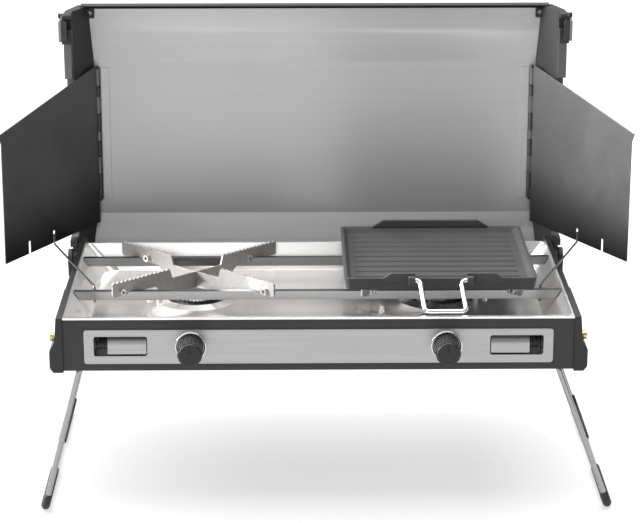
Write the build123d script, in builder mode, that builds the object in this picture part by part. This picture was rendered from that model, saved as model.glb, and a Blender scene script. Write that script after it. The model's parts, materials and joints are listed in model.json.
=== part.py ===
from build123d import *
from math import cos, sin, tan, radians, pi, sqrt, atan2, degrees, dist
import os

os.makedirs("parts", exist_ok=True)

# Two-burner folding camp stove, stood on its legs with the lid open.
# Millimetres. X runs left to right, Y from the front to the back, Z up from the ground.

# Driving dimensions: base
rim_z = 185.0
front_y = -140.05
base_depth = 258.0
base_half = 224.3
face_height = 48.9
sheet = 1.2
cap_half_top = 229.8
cap_half_bulge = 236.5
pan_rear = 232.0
pan_depth = 26.0
pan_sheet = 0.8

# Driving dimensions: controls
burner_x = 112.2
burner_back = 133.0
knob_z = 158.5
knob_radius = 11.2
knob_length = 23.0
fascia_half = 205.7
fascia_z0 = 142.8
fascia_z1 = 174.0
igniter_x0 = 150.3
igniter_x1 = 197.2
igniter_z0 = 150.0
igniter_z1 = 168.0

# Driving dimensions: legs
leg_wire = 2.5
leg_pivot_x = 209.5
leg_pivot_z = 141.0
foot_reach = {-1: 246.0, 1: 260.5}
foot_z = 3.6
sleeve_radius = 4.0

# Driving dimensions: lid, written as distance out from the hinge and height over its plane
hinge_back = 243.0
hinge_drop = 20.0
lid_length = 241.0
lid_depth = 57.0
rim_inner = 232.3
rim_outer = 239.5
liner_half = 216.4

# Driving dimensions: windshields, stays, supports and griddle
shield_length = 164.5
shield_angle = 61.65
shield_x = 213.0
stay_wire = 1.0
stay_x = 203.0
stay_behind = 6.0
support_reach = 99.4
support_angle = 42.8
support_top = 196.0
griddle_x0 = 23.0
griddle_x1 = 195.0
griddle_back0 = 39.5
griddle_back1 = 207.0

# Places worked out from the driving dimensions
rear_y = front_y + base_depth
face_z = rim_z - face_height
hinge_y = front_y + hinge_back
hinge_z = rim_z - hinge_drop
pan_z = rim_z - pan_depth
floor_z = 145.4
burner_y = front_y + burner_back
screw_offsets = ((43.0, -4.4), (-43.0, 4.4))
spark_offset = (34.5, -10.5)
rail_backs = {"front": burner_back - 52.0, "rear": burner_back + 52.0}
sides = {"left": -1, "right": 1}


def back(distance):
    """Y of a point this far behind the front face."""
    return front_y + distance


def lid_yz(depth, length):
    """Y and Z of a lid point, from its height over the hinge plane and its distance out."""
    return (hinge_y + depth, hinge_z + length)


def save(builder, name):
    """Label a finished piece and write its STEP file."""
    builder.part.label = name
    export_step(builder.part, f"parts/{name}.step")


def ribbon(points, thickness):
    """Outline of a bent sheet: the points, and the same line moved to its left."""
    moved = []
    for i, point in enumerate(points):
        before = points[max(i - 1, 0)]
        after = points[min(i + 1, len(points) - 1)]
        normals = []
        for a, b in ((before, point), (point, after)):
            length = dist(a, b)
            if length > 0:
                normals.append(((a[1] - b[1]) / length, (b[0] - a[0]) / length))
        nx = sum(n[0] for n in normals)
        ny = sum(n[1] for n in normals)
        scale = 2 / (nx * nx + ny * ny) if len(normals) == 2 else 1
        moved.append((point[0] + nx * scale * thickness, point[1] + ny * scale * thickness))
    return points + moved[::-1]


def rounded_route(points, radius):
    """Straight lines joined by arcs, for a bent wire. Used inside BuildLine."""
    corners = [Vector(*p) for p in points]
    start = corners[0]
    for before, corner, after in zip(corners, corners[1:], corners[2:]):
        into = (corner - before).normalized()
        out = (after - corner).normalized()
        half_turn = radians(into.get_angle(out)) / 2
        reach = radius * tan(half_turn)
        first = corner - into * reach
        last = corner + out * reach
        inward = (out - into).normalized()
        middle = corner + inward * (radius / cos(half_turn) - radius)
        Line(start, first)
        ThreePointArc(first, middle, last)
        start = last
    Line(start, corners[-1])


def bent_wire(points, radius, bend, hollow=0.0):
    """A round wire, or a sleeve with a bore, along a route with rounded corners."""
    with BuildPart() as wire:
        with BuildLine() as route:
            rounded_route(points, bend)
        with BuildSketch(Plane(origin=points[0], z_dir=route.line % 0)):
            Circle(radius)
            if hollow:
                Circle(hollow, mode=Mode.SUBTRACT)
        sweep(path=route.line)
    return wire


# Sheet housing: front face, raised floor that the legs fold under, rear wall and shelf
with BuildPart() as base_housing:
    with BuildSketch(Plane.YZ.offset(-base_half)):
        with BuildLine():
            Polyline(
                (front_y, face_z),
                (front_y, rim_z - 1.6),
                (front_y + sheet, rim_z - 1.6),
                (front_y + sheet, floor_z + sheet),
                (rear_y - sheet, floor_z + sheet),
                (rear_y - sheet, 173.8),
                (back(pan_rear + 0.6), 173.8),
                (back(pan_rear + 0.6), 175.0),
                (rear_y, 175.0),
                (rear_y, face_z),
                (rear_y - sheet, face_z),
                (rear_y - sheet, floor_z),
                (front_y + sheet, floor_z),
                (front_y + sheet, face_z),
                close=True,
            )
        make_face()
    extrude(amount=2 * base_half)
    with BuildSketch(Plane.XZ.offset(-front_y)):
        with Locations((-burner_x, knob_z), (burner_x, knob_z)):
            Circle(7.0)
        for side in sides.values():
            with Locations((side * (igniter_x0 + igniter_x1) / 2, (igniter_z0 + igniter_z1) / 2)):
                Rectangle(igniter_x1 - igniter_x0, igniter_z1 - igniter_z0)
    extrude(amount=-2 * sheet, mode=Mode.SUBTRACT)
    with BuildSketch(Plane.XZ.offset(-rear_y)):
        with Locations((20.0, 152.0)):
            Circle(5.05)
    extrude(amount=2 * sheet, mode=Mode.SUBTRACT)
save(base_housing, "base_housing")

# Brushed fascia, bare in the middle
with BuildPart() as front_fascia:
    with BuildSketch(Plane.XZ.offset(-front_y)):
        with Locations((0, (fascia_z0 + fascia_z1) / 2)):
            RectangleRounded(2 * fascia_half, fascia_z1 - fascia_z0, 2.5)
        with Locations((-burner_x, knob_z), (burner_x, knob_z)):
            Circle(6.3, mode=Mode.SUBTRACT)
        for side in sides.values():
            with Locations((side * (igniter_x0 + igniter_x1) / 2, (igniter_z0 + igniter_z1) / 2)):
                RectangleRounded(igniter_x1 - igniter_x0, igniter_z1 - igniter_z0, 2.0, mode=Mode.SUBTRACT)
    extrude(amount=sheet)
save(front_fascia, "front_fascia")


def side_cap(side):
    """Moulded end of the base, with the fork that holds the lid's hinge lug."""
    front = back(-1.5)
    with BuildPart() as cap:
        with BuildSketch(Plane.XZ.offset(-front)):
            with BuildLine():
                Polyline(
                    (side * base_half, face_z - 1.4),
                    (side * (cap_half_bulge - 3.5), face_z - 1.4),
                    (side * cap_half_bulge, face_z + 3.0),
                    (side * cap_half_bulge, face_z + 18.0),
                    (side * 231.6, rim_z - 22.0),
                    (side * cap_half_top, rim_z),
                    (side * base_half, rim_z),
                    close=True,
                )
            make_face()
        extrude(amount=-(base_depth + 3.0))
        fillet(cap.edges().group_by(Axis.Y)[0].group_by(Axis.X)[-1 if side > 0 else 0], 1.2)
        with Locations((side * 228.0, back(172.0), rim_z)):
            Box(14.0, 178.0, 6.0, mode=Mode.SUBTRACT)
        with BuildSketch(Plane.YZ.offset(side * 230.0)):
            with Locations((hinge_y, hinge_z)):
                Circle(10.0)
            with Locations((hinge_y, hinge_z - 9.0)):
                Rectangle(16.0, 12.0)
        extrude(amount=side * 11.5)
        with BuildSketch(Plane.YZ.offset(side * 232.6)):
            with Locations((hinge_y, hinge_z)):
                Circle(9.2)
            with Locations((hinge_y - 5.0, hinge_z + 9.5)):
                Rectangle(30.0, 21.0)
        extrude(amount=side * 4.8, mode=Mode.SUBTRACT)
        with BuildSketch(Plane.YZ.offset(side * 225.5)):
            with Locations((hinge_y, hinge_z)):
                Circle(3.02)
        extrude(amount=side * 20.0, mode=Mode.SUBTRACT)
        with BuildSketch(Plane.YZ.offset(side * 226.0)):
            with Locations((back(11.5), rim_z - 21.0)):
                Circle(2.62)
        extrude(amount=side * 10.0, mode=Mode.SUBTRACT)
    return cap


for name, side in sides.items():
    save(side_cap(side), f"side_cap_{name}")

# Brass studs that the lid latches hook under
with BuildPart() as latch_studs:
    for side in sides.values():
        with BuildSketch(Plane.YZ.offset(side * 226.2)):
            with Locations((back(11.5), rim_z - 21.0)):
                Circle(2.6)
        extrude(amount=side * 7.2)
        with BuildSketch(Plane.YZ.offset(side * 233.4)):
            with Locations((back(11.5), rim_z - 21.0)):
                Circle(4.0)
        extrude(amount=side * 3.0)
save(latch_studs, "latch_studs")

# Pressed pan with sloped walls, a narrow rim, and a raised collar round each burner opening
pan_floor = (412.0, 188.0)
pan_mouth = (446.6, 227.5)
pan_floor_y = back(128.0)
pan_mouth_y = back(115.75)
collar_radius = 38.0
collar_rise = 2.4
opening_radius = 28.6
rim_lip = 1.6
with BuildPart() as burner_pan:
    with BuildSketch(Plane.XY.offset(pan_z)):
        with Locations((0, pan_floor_y)):
            RectangleRounded(*pan_floor, 16.0)
    with BuildSketch(Plane.XY.offset(rim_z - sheet)):
        with Locations((0, pan_mouth_y)):
            RectangleRounded(*pan_mouth, 7.0)
    loft()
    with BuildSketch(Plane.XY.offset(rim_z - sheet)):
        with Locations((0, back((pan_rear - 1.2) / 2))):
            Rectangle(2 * (base_half - 0.3), pan_rear + 1.2)
    extrude(amount=sheet)
    with BuildSketch(Plane.XZ.offset(-back(-1.2))):
        with Locations((0, rim_z - rim_lip / 2)):
            Rectangle(2 * (base_half - 0.3), rim_lip)
    extrude(amount=-1.15)
    with BuildSketch(Plane.XY.offset(pan_z + pan_sheet)):
        with Locations((0, pan_floor_y)):
            RectangleRounded(pan_floor[0] - 2 * pan_sheet, pan_floor[1] - 2 * pan_sheet, 15.2)
    with BuildSketch(Plane.XY.offset(rim_z)):
        with Locations((0, pan_mouth_y)):
            RectangleRounded(pan_mouth[0] - 2 * pan_sheet, pan_mouth[1] - 2 * pan_sheet, 6.2)
    loft(mode=Mode.SUBTRACT)
    for side in sides.values():
        with BuildSketch(Plane.XY.offset(pan_z)):
            with Locations((side * burner_x, burner_y)):
                Circle(collar_radius)
            for dx, dy in screw_offsets:
                with Locations((side * (burner_x + dx), burner_y + dy)):
                    Circle(1.6)
        extrude(amount=pan_sheet, mode=Mode.SUBTRACT)
        with BuildSketch(Plane(origin=(side * burner_x, burner_y, pan_z), x_dir=(1, 0, 0), z_dir=(0, -1, 0))):
            with BuildLine():
                Polyline(
                    (collar_radius, 0),
                    (collar_radius, pan_sheet),
                    (opening_radius, pan_sheet + collar_rise),
                    (opening_radius, collar_rise),
                    close=True,
                )
            make_face()
        revolve(axis=Axis((side * burner_x, burner_y, 0), (0, 0, 1)))
        with Locations((side * (burner_x + spark_offset[0]), burner_y + spark_offset[1], pan_z)):
            Cylinder(2.9, 8.0, mode=Mode.SUBTRACT)
save(burner_pan, "burner_pan")

# Two inverted channels across the pan that carry the pot supports; the front one has lugs for the stays
rail_top = rim_z - 1.0
rail_half = 221.2
for name, distance in rail_backs.items():
    with BuildPart() as rail:
        with BuildSketch(Plane.XZ.offset(-back(distance - 3.0))):
            with BuildLine():
                Polyline(
                    (-rail_half, rail_top),
                    (rail_half, rail_top),
                    (rail_half - 5.6, rail_top - 8.0),
                    (5.6 - rail_half, rail_top - 8.0),
                    close=True,
                )
            make_face()
        extrude(amount=-6.0)
        with Locations((0, back(distance), rail_top - 5.0)):
            Box(460.0, 4.0, 8.0, mode=Mode.SUBTRACT)
        if name == "front":
            with Locations((-stay_x, back(distance + 5.7), 177.5), (stay_x, back(distance + 5.7), 177.5)):
                Box(8.0, 5.4, 3.0)
            with Locations((-stay_x, back(distance + stay_behind)), (stay_x, back(distance + stay_behind))):
                Cylinder(stay_wire + 0.06, 400.0, mode=Mode.SUBTRACT)
    save(rail, f"rail_{name}")


def burner_body(side):
    """Cast bowl on a dished flange under the pan opening, notched round its lip for the flames."""
    middle = (side * burner_x, burner_y)
    floor, lip, wall = 148.4, 163.0, 20.5
    flange = pan_z - 2.0
    with BuildPart() as bowl:
        with BuildSketch(Plane(origin=(*middle, 0), x_dir=(1, 0, 0), z_dir=(0, -1, 0))):
            with BuildLine():
                Polyline(
                    (0, floor),
                    (wall, floor),
                    (collar_radius + 1.0, flange),
                    (collar_radius + 6.5, flange),
                    (collar_radius + 6.5, flange + 1.9),
                    (collar_radius + 0.2, flange + 1.9),
                    (wall, floor + 2.3),
                    (wall, lip),
                    (wall - 3.0, lip),
                    (wall - 3.0, floor + 1.6),
                    (0, floor + 1.6),
                    close=True,
                )
            make_face()
        revolve(axis=Axis((*middle, 0), (0, 0, 1)))
        with Locations((*middle, lip - 0.8)):
            with PolarLocations(wall - 1.5, 24):
                Box(6.0, 2.4, 2.4, mode=Mode.SUBTRACT)
        with BuildSketch(Plane.XZ.offset(-burner_y)):
            with Locations((middle[0], 152.3)):
                Circle(4.42)
        extrude(amount=collar_radius + 10.0, mode=Mode.SUBTRACT)
        with Locations((side * (burner_x + spark_offset[0]), burner_y + spark_offset[1], 156.0)):
            Cylinder(2.9, 16.0, mode=Mode.SUBTRACT)
        for dx, dy in screw_offsets:
            with Locations((side * (burner_x + dx), burner_y + dy, 158.0)):
                Cylinder(1.6, 6.0, mode=Mode.SUBTRACT)
    return bowl


def burner_cap(side):
    """Loose cap that closes the bowl and leaves the notches as flame ports, with a toothed edge."""
    middle = (side * burner_x, burner_y)
    lip_z, edge_radius = 163.05, 21.7
    with BuildPart() as cap:
        with BuildSketch(Plane(origin=(*middle, 0), x_dir=(1, 0, 0), z_dir=(0, -1, 0))):
            with BuildLine():
                rim = Polyline(
                    (0, lip_z - 2.0),
                    (17.0, lip_z - 2.0),
                    (17.0, lip_z),
                    (edge_radius, lip_z),
                    (edge_radius, lip_z + 1.3),
                    (18.5, lip_z + 2.8),
                )
                crown = ThreePointArc(rim @ 1, (13.5, lip_z + 3.9), (8.0, lip_z + 4.4))
                Polyline(crown @ 1, (0, lip_z + 4.4), rim @ 0)
            make_face()
        revolve(axis=Axis((*middle, 0), (0, 0, 1)))
        with Locations((*middle, lip_z + 0.6)):
            with PolarLocations(edge_radius, 40):
                Box(1.8, 1.4, 2.4, mode=Mode.SUBTRACT)
    return cap


def mixing_tube(side):
    """Tube that carries gas and air from the jet to the bowl."""
    with BuildPart() as tube:
        with BuildSketch(Plane.XZ.offset(-back(27.0))):
            with Locations((side * burner_x, 152.3)):
                Circle(4.4)
                Circle(3.6, mode=Mode.SUBTRACT)
        extrude(amount=-(burner_back - 27.0 - 20.0))
    return tube


def valve_body(side):
    """Brass valve block with the jet that looks into the mixing tube."""
    with BuildPart() as valve:
        with Locations((side * burner_x, back(14.5), 159.4)):
            Box(15.0, 17.0, 12.0)
        with BuildSketch(Plane.XZ.offset(-back(6.2))):
            with Locations((side * burner_x, knob_z)):
                Circle(5.4)
        extrude(amount=4.0)
        with BuildSketch(Plane.XZ.offset(-back(20.0))):
            with Locations((side * burner_x, 154.4)):
                Circle(1.2)
        extrude(amount=-10.0)
        with BuildSketch(Plane.XZ.offset(-back(2.0))):
            with Locations((side * burner_x, knob_z)):
                Circle(3.05)
        extrude(amount=-12.0, mode=Mode.SUBTRACT)
    return valve


def valve_stem(side):
    """Spindle that the knob turns."""
    with BuildPart() as stem:
        with BuildSketch(Plane.XZ.offset(-back(13.0))):
            with Locations((side * burner_x, knob_z)):
                Circle(3.0)
        extrude(amount=27.0)
    return stem


def knob(side):
    """Fluted control knob with a plain skirt, a rounded nose and a marker groove."""
    seat = back(-2.6)
    face = seat - knob_length
    skirt = 3.0
    nose = 2.4
    nose_radius = knob_radius - 0.9
    with BuildPart() as turned:
        with BuildSketch(Plane.XZ.offset(-seat)):
            with Locations((side * burner_x, knob_z)):
                Circle(knob_radius)
        extrude(amount=skirt)
        with BuildSketch(Plane.XZ.offset(skirt - seat)):
            with Locations((side * burner_x, knob_z)):
                Circle(knob_radius - 0.25)
                with PolarLocations(knob_radius + 0.35, 18):
                    Circle(1.0, mode=Mode.SUBTRACT)
        extrude(amount=knob_length - skirt - nose)
        with BuildSketch(Plane(origin=(side * burner_x, 0, knob_z), x_dir=(1, 0, 0), z_dir=(0, 0, 1))):
            with BuildLine():
                shoulder = Line((0, face + nose), (nose_radius, face + nose))
                edge = Line(shoulder @ 1, (nose_radius, face + 1.5))
                rounding = ThreePointArc(edge @ 1, (nose_radius - 0.44, face + 0.44), (nose_radius - 1.5, face))
                Polyline(rounding @ 1, (0, face), shoulder @ 0)
            make_face()
        revolve(axis=Axis((side * burner_x, 0, knob_z), (0, 1, 0)))
        with Locations((side * burner_x, face, knob_z + 5.0)):
            Box(1.6, 1.6, 6.0, mode=Mode.SUBTRACT)
        with BuildSketch(Plane.XZ.offset(-seat)):
            with Locations((side * burner_x, knob_z)):
                Circle(3.0)
        extrude(amount=11.4, mode=Mode.SUBTRACT)
    return turned


for name, side in sides.items():
    save(burner_body(side), f"burner_body_{name}")
    save(burner_cap(side), f"burner_cap_{name}")
    save(mixing_tube(side), f"mixing_tube_{name}")
    save(valve_body(side), f"valve_body_{name}")
    save(valve_stem(side), f"valve_stem_{name}")
    save(knob(side), f"knob_{name}")

# Chrome rings on the fascia round the knobs
with BuildPart() as knob_bezels:
    with BuildSketch(Plane.XZ.offset(-back(-sheet))):
        with Locations((-burner_x, knob_z), (burner_x, knob_z)):
            Circle(13.4)
            Circle(11.8, mode=Mode.SUBTRACT)
    extrude(amount=2.4)
save(knob_bezels, "knob_bezels")

# Screws that hold each burner to the pan
with BuildPart() as burner_screws:
    for side in sides.values():
        for dx, dy in screw_offsets:
            with Locations((side * (burner_x + dx), burner_y + dy, 155.0)):
                Cylinder(1.55, pan_z + pan_sheet - 155.0, align=(Align.CENTER, Align.CENTER, Align.MIN))
            with Locations((side * (burner_x + dx), burner_y + dy, pan_z + pan_sheet)):
                Cylinder(3.2, 1.8, align=(Align.CENTER, Align.CENTER, Align.MIN))
save(burner_screws, "burner_screws")

# Gas pipe from the inlet to both valves, and the brass hose nozzle at the back
with BuildPart() as gas_manifold:
    with BuildSketch(Plane.YZ.offset(-burner_x - 8.0)):
        with Locations((back(15.0), 150.0)):
            Circle(3.2)
    extrude(amount=2 * (burner_x + 8.0))
    with BuildSketch(Plane.XZ.offset(-back(15.0))):
        with Locations((20.0, 150.0)):
            Circle(2.8)
    extrude(amount=-(base_depth - 31.0))
    with Locations((20.0, back(base_depth - 13.0), 152.0)):
        Box(10.0, 10.0, 10.0)
save(gas_manifold, "gas_manifold")

with BuildPart() as gas_inlet:
    with BuildSketch(Plane.XZ.offset(-back(base_depth - 8.0))):
        with Locations((20.0, 152.0)):
            Circle(5.0)
    extrude(amount=-10.0)
    with BuildSketch(Plane.XZ.offset(-back(base_depth + 2.0))):
        with Locations((20.0, 152.0)):
            Circle(4.0)
    extrude(amount=-12.0)
    with BuildSketch(Plane.XZ.offset(-back(base_depth + 16.0))):
        with Locations((20.0, 152.0)):
            Circle(1.8)
    extrude(amount=20.0, mode=Mode.SUBTRACT)
save(gas_inlet, "gas_inlet")

# Igniters: a sprung flap at each end of the fascia strikes a piezo element inside
shaft_y = back(6.0)
shaft_z = 160.0
hood_radius = 6.5
hood_sheet = 0.9
flap_x0 = igniter_x0 + 0.8
flap_x1 = igniter_x0 + 34.7
flap_z0 = igniter_z0 + 1.6
coil_mean = 5.0
coil_wire = 0.7
coil_pitch = 1.95
coil_turns = 4
coil_x0 = flap_x1 + 0.6


def igniter_body(side):
    """Open tray behind the fascia, with the piezo cartridge on its back."""
    middle = side * (igniter_x0 + igniter_x1) / 2
    width = igniter_x1 - igniter_x0
    tray_z = 158.1
    tray_height = 21.0
    with BuildPart() as body:
        with Locations((middle, back(sheet + 6.0), tray_z)):
            Box(width + 2.4, 12.0, tray_height + 1.8)
            Box(width - 0.2, 12.0, tray_height, mode=Mode.SUBTRACT)
        with Locations((middle, back(sheet + 12.8), tray_z)):
            Box(width + 2.4, 1.6, tray_height + 1.8)
        with BuildSketch(Plane.YZ.offset(middle - 15.0)):
            with Locations((back(sheet + 18.0), 151.6)):
                Circle(4.6)
        extrude(amount=30.0)
        with BuildSketch(Plane.YZ.offset(middle - 30.0)):
            with Locations((shaft_y, shaft_z)):
                Circle(1.52)
        extrude(amount=60.0, mode=Mode.SUBTRACT)
    return body


def igniter_flap(side):
    """Stainless flap: a hood round the shaft that runs down into a flat plate, between two bored cheeks."""
    inner = hood_radius - hood_sheet
    with BuildPart() as flap:
        with BuildSketch(Plane.YZ.offset(side * flap_x0)):
            with BuildLine():
                hood = CenterArc((shaft_y, shaft_z), hood_radius, 60, 120)
                plate = Line(hood @ 1, (shaft_y - hood_radius, flap_z0))
                lining = CenterArc((shaft_y, shaft_z), inner, 60, 120)
                Polyline(plate @ 1, (shaft_y - inner, flap_z0), lining @ 1)
                Line(lining @ 0, hood @ 0)
            make_face()
        extrude(amount=side * (flap_x1 - flap_x0))
        for x in (flap_x0, flap_x1 - 1.0):
            with BuildSketch(Plane.YZ.offset(side * x)):
                with Locations((shaft_y, shaft_z)):
                    Circle(hood_radius - hood_sheet / 2)
                    Circle(1.56, mode=Mode.SUBTRACT)
            extrude(amount=side)
    return flap


def helix_points(side):
    """Points and tangents of the coil, a quarter turn apart."""
    points = []
    for step in range(4 * coil_turns + 1):
        turn = pi / 2 * step
        x = side * (coil_x0 + coil_wire + coil_pitch * step / 4)
        place = Vector(x, shaft_y + coil_mean * cos(turn), shaft_z + coil_mean * sin(turn))
        rise = side * coil_pitch / (2 * pi)
        heading = Vector(rise, -coil_mean * sin(turn), coil_mean * cos(turn)).normalized()
        points.append((place, heading))
    return points


def biarc(first, last):
    """Two arcs that leave one point and reach the next along given headings."""
    (p, t), (q, s) = first, last
    chord = q - p
    both = t + s
    spread = 2 * (1 - t.dot(s))
    along = chord.dot(both)
    reach = (sqrt(along * along + spread * chord.dot(chord)) - along) / spread
    corner_p = p + t * reach
    corner_q = q - s * reach
    joint = (corner_p + corner_q) / 2
    TangentArc(p, joint, tangent=t)
    TangentArc(joint, q, tangent=corner_q - corner_p)


def igniter_spring(side):
    """Torsion spring on the outer end of the shaft: one tube with straight ends."""
    points = helix_points(side)
    tail = 2 * coil_wire
    with BuildPart() as spring:
        with BuildLine() as route:
            Line(points[0][0] - points[0][1] * tail, points[0][0])
            for first, last in zip(points, points[1:]):
                biarc(first, last)
            Line(points[-1][0], points[-1][0] + points[-1][1] * tail)
        with BuildSketch(Plane(origin=route.line @ 0, z_dir=route.line % 0)):
            Circle(coil_wire)
        sweep(path=route.line)
    trace = [route.line @ (i / 400) for i in range(401)]
    turn_apart = 400 // (coil_turns + 1) // 2
    gaps = [(a - b).length for i, a in enumerate(trace) for b in trace[i + turn_apart:]]
    print("igniter spring, least gap between turns:", round(min(gaps) - 2 * coil_wire, 2), "mm")
    return spring


for name, side in sides.items():
    save(igniter_body(side), f"igniter_body_{name}")
    save(igniter_flap(side), f"igniter_flap_{name}")
    save(igniter_spring(side), f"igniter_spring_{name}")

# Shafts that carry the flaps and coils, each with a retaining flange at its outer end
with BuildPart() as igniter_shafts:
    for side in sides.values():
        with BuildSketch(Plane.YZ.offset(side * (igniter_x0 - 1.0))):
            with Locations((shaft_y, shaft_z)):
                Circle(1.5)
        extrude(amount=side * (igniter_x1 - igniter_x0 + 2.0))
        with BuildSketch(Plane.YZ.offset(side * (igniter_x1 - 1.9))):
            with Locations((shaft_y, shaft_z)):
                Circle(7.0)
        extrude(amount=side * 1.6)
save(igniter_shafts, "igniter_shafts")

# Ceramic electrodes beside the burners, each with its bent spark wire
with BuildPart() as electrodes:
    for side in sides.values():
        foot = (side * (burner_x + spark_offset[0]), burner_y + spark_offset[1])
        with Locations((*foot, 149.0)):
            Cylinder(2.4, 15.0, align=(Align.CENTER, Align.CENTER, Align.MIN))
        with BuildLine() as spark:
            rounded_route(
                [(*foot, 163.0), (*foot, 168.0), (foot[0] - side * 10.5, foot[1] + 3.2, 168.4)],
                1.5,
            )
        with BuildSketch(Plane(origin=spark.line @ 0, z_dir=spark.line % 0)):
            Circle(0.6)
        sweep(path=spark.line)
save(electrodes, "electrodes")

# Wire legs, their rubber sleeves and the brackets under the floor
leg_front = 5.0
leg_rear = 253.0
leg_bend = 9.0


def leg_route(side):
    """Corners of the leg wire, from one pivot end round the foot to the other."""
    top = (side * leg_pivot_x, leg_pivot_z)
    foot = (side * foot_reach[side], foot_z)
    return [
        (top[0], back(leg_front + 23.0), top[1]),
        (top[0], back(leg_front), top[1]),
        (foot[0], back(leg_front), foot[1]),
        (foot[0], back(leg_rear), foot[1]),
        (top[0], back(leg_rear), top[1]),
        (top[0], back(leg_rear - 23.0), top[1]),
    ]


def leg_sleeves(side):
    """Two sleeves round the foot's corners, flat where they stand on the ground."""
    rise = 13.0
    foot_x = foot_reach[side]
    lean = rise * (foot_x - leg_pivot_x) / (leg_pivot_z - foot_z)
    with BuildPart() as sleeves:
        for corner, end in ((leg_front, leg_front + 92.0), (leg_rear, leg_rear - 84.0)):
            with BuildLine() as route:
                rounded_route(
                    [
                        (side * (foot_x - lean), back(corner), foot_z + rise),
                        (side * foot_x, back(corner), foot_z),
                        (side * foot_x, back(end), foot_z),
                    ],
                    leg_bend,
                )
            with BuildSketch(Plane(origin=route.line @ 0, z_dir=route.line % 0)):
                Circle(sleeve_radius)
                Circle(leg_wire, mode=Mode.SUBTRACT)
            sweep(path=route.line)
        with Locations((side * foot_x, back(129.0), -5.0)):
            Box(60.0, 300.0, 10.0, mode=Mode.SUBTRACT)
    return sleeves


for name, side in sides.items():
    save(bent_wire(leg_route(side), leg_wire, leg_bend), f"leg_frame_{name}")
    save(leg_sleeves(side), f"leg_sleeves_{name}")

with BuildPart() as leg_brackets:
    for side in sides.values():
        for distance in (leg_front + 16.0, leg_rear - 16.0):
            with BuildSketch(Plane.XZ.offset(-back(distance - 3.0))):
                with Locations((side * leg_pivot_x, (floor_z + leg_pivot_z - 4.5) / 2)):
                    Rectangle(13.0, floor_z - leg_pivot_z + 4.5)
                with Locations((side * leg_pivot_x, leg_pivot_z)):
                    Circle(leg_wire + 0.05, mode=Mode.SUBTRACT)
            extrude(amount=-6.0)
save(leg_brackets, "leg_brackets")

# Pot supports: two crossed strips on edge, serrated on their outer ends
strip = 2.0
tooth_pitch = 4.8
tooth_count = 14
tooth_depth = 1.7
step_reach = support_reach - tooth_pitch * tooth_count
pin_z = 186.0
pin_reaches = {"front": 89.0, "rear": 64.0}


def strip_half():
    """Outline of half a strip, from the bottom of the lap to its top."""
    notch0 = 52.0 / sin(radians(support_angle)) - 5.9
    notch1 = 52.0 / sin(radians(support_angle)) + 5.9
    bottom = rim_z - 3.0
    points = [(0, bottom - 11.0), (38.0, bottom - 11.0), (50.0, bottom)]
    points += [(notch0, bottom), (notch0, rail_top + 0.3), (notch1, rail_top + 0.3), (notch1, bottom)]
    points += [(support_reach - 1.5, bottom), (support_reach, bottom + 2.0)]
    points += [(support_reach, support_top - tooth_depth)]
    for tooth in range(tooth_count):
        reach = support_reach - tooth_pitch * tooth
        points += [(reach - tooth_pitch / 2, support_top), (reach - tooth_pitch, support_top - tooth_depth)]
    points += [(step_reach - 2.5, rim_z + 1.0), (0, rim_z + 1.0)]
    return points


def support_strip(side, turn, lapped_from_top):
    """One strip of a pot support, slotted halfway where the other one crosses it."""
    heading = (cos(radians(turn)), sin(radians(turn)), 0)
    across = (sin(radians(turn)), -cos(radians(turn)), 0)
    upright = Plane(origin=(side * burner_x, burner_y, 0), x_dir=heading, z_dir=across)
    half = strip_half()
    lap_z = rim_z - 6.5
    with BuildPart() as bar:
        with BuildSketch(upright):
            with BuildLine():
                Polyline(*half, *[(-t, z) for t, z in half[-2:0:-1]], close=True)
            make_face()
            if lapped_from_top:
                with Locations((0, lap_z + 10.0)):
                    Rectangle(strip + 0.5, 20.0, mode=Mode.SUBTRACT)
            else:
                with Locations((0, lap_z - 9.8)):
                    Rectangle(strip + 0.5, 20.0, mode=Mode.SUBTRACT)
            rear_is_plus = turn > 0
            for end in (-1, 1):
                towards_rear = (end > 0) == rear_is_plus
                with Locations((end * pin_reaches["rear" if towards_rear else "front"], pin_z)):
                    Circle(3.2, mode=Mode.SUBTRACT)
        extrude(amount=strip / 2, both=True)
    return bar


def support_pins(side):
    """Tubular pins through the strips that bear on the front of the rails."""
    with BuildPart() as pins:
        for turn in (support_angle, -support_angle):
            for end in (-1, 1):
                towards_rear = (end > 0) == (turn > 0)
                reach = end * pin_reaches["rear" if towards_rear else "front"]
                x = side * burner_x + reach * cos(radians(turn))
                y = burner_y + reach * sin(radians(turn))
                across = (sin(radians(turn)), -cos(radians(turn)), 0)
                with Locations(Plane(origin=(x, y, pin_z), z_dir=across)):
                    Cylinder(3.2, 8.0)
                    Cylinder(1.7, 8.0, mode=Mode.SUBTRACT)
    return pins


for name, side in sides.items():
    save(support_strip(side, support_angle, True), f"support_strip_{name}_rising")
    save(support_strip(side, -support_angle, False), f"support_strip_{name}_falling")
    save(support_pins(side), f"support_pins_{name}")

# Griddle plate with nine ribs, a sloped rim, a rear tab, and two front shoulders that hold the handle
griddle_z = support_top + 0.3
griddle_floor = griddle_z + 6.4
griddle_rim = griddle_z + 11.2
griddle_w = griddle_x1 - griddle_x0
griddle_d = griddle_back1 - griddle_back0
griddle_x = (griddle_x0 + griddle_x1) / 2
griddle_y = back((griddle_back0 + griddle_back1) / 2)
rib_count = 9
rib_pitch = 15.6
rib_radius = 2.2
rib_height = 1.5
rib_x0 = griddle_x0 + 11.0
rib_x1 = griddle_x1 - 15.0
handle_y = back(griddle_back0 - 4.0)
handle_z = griddle_z + 10.5
handle_x0 = 90.0
handle_x1 = 126.5
handle_skew = 4.0
lug = 6.0
lug_x0 = handle_x0 - 7.0
lug_x1 = handle_x1 + 8.5


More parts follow.
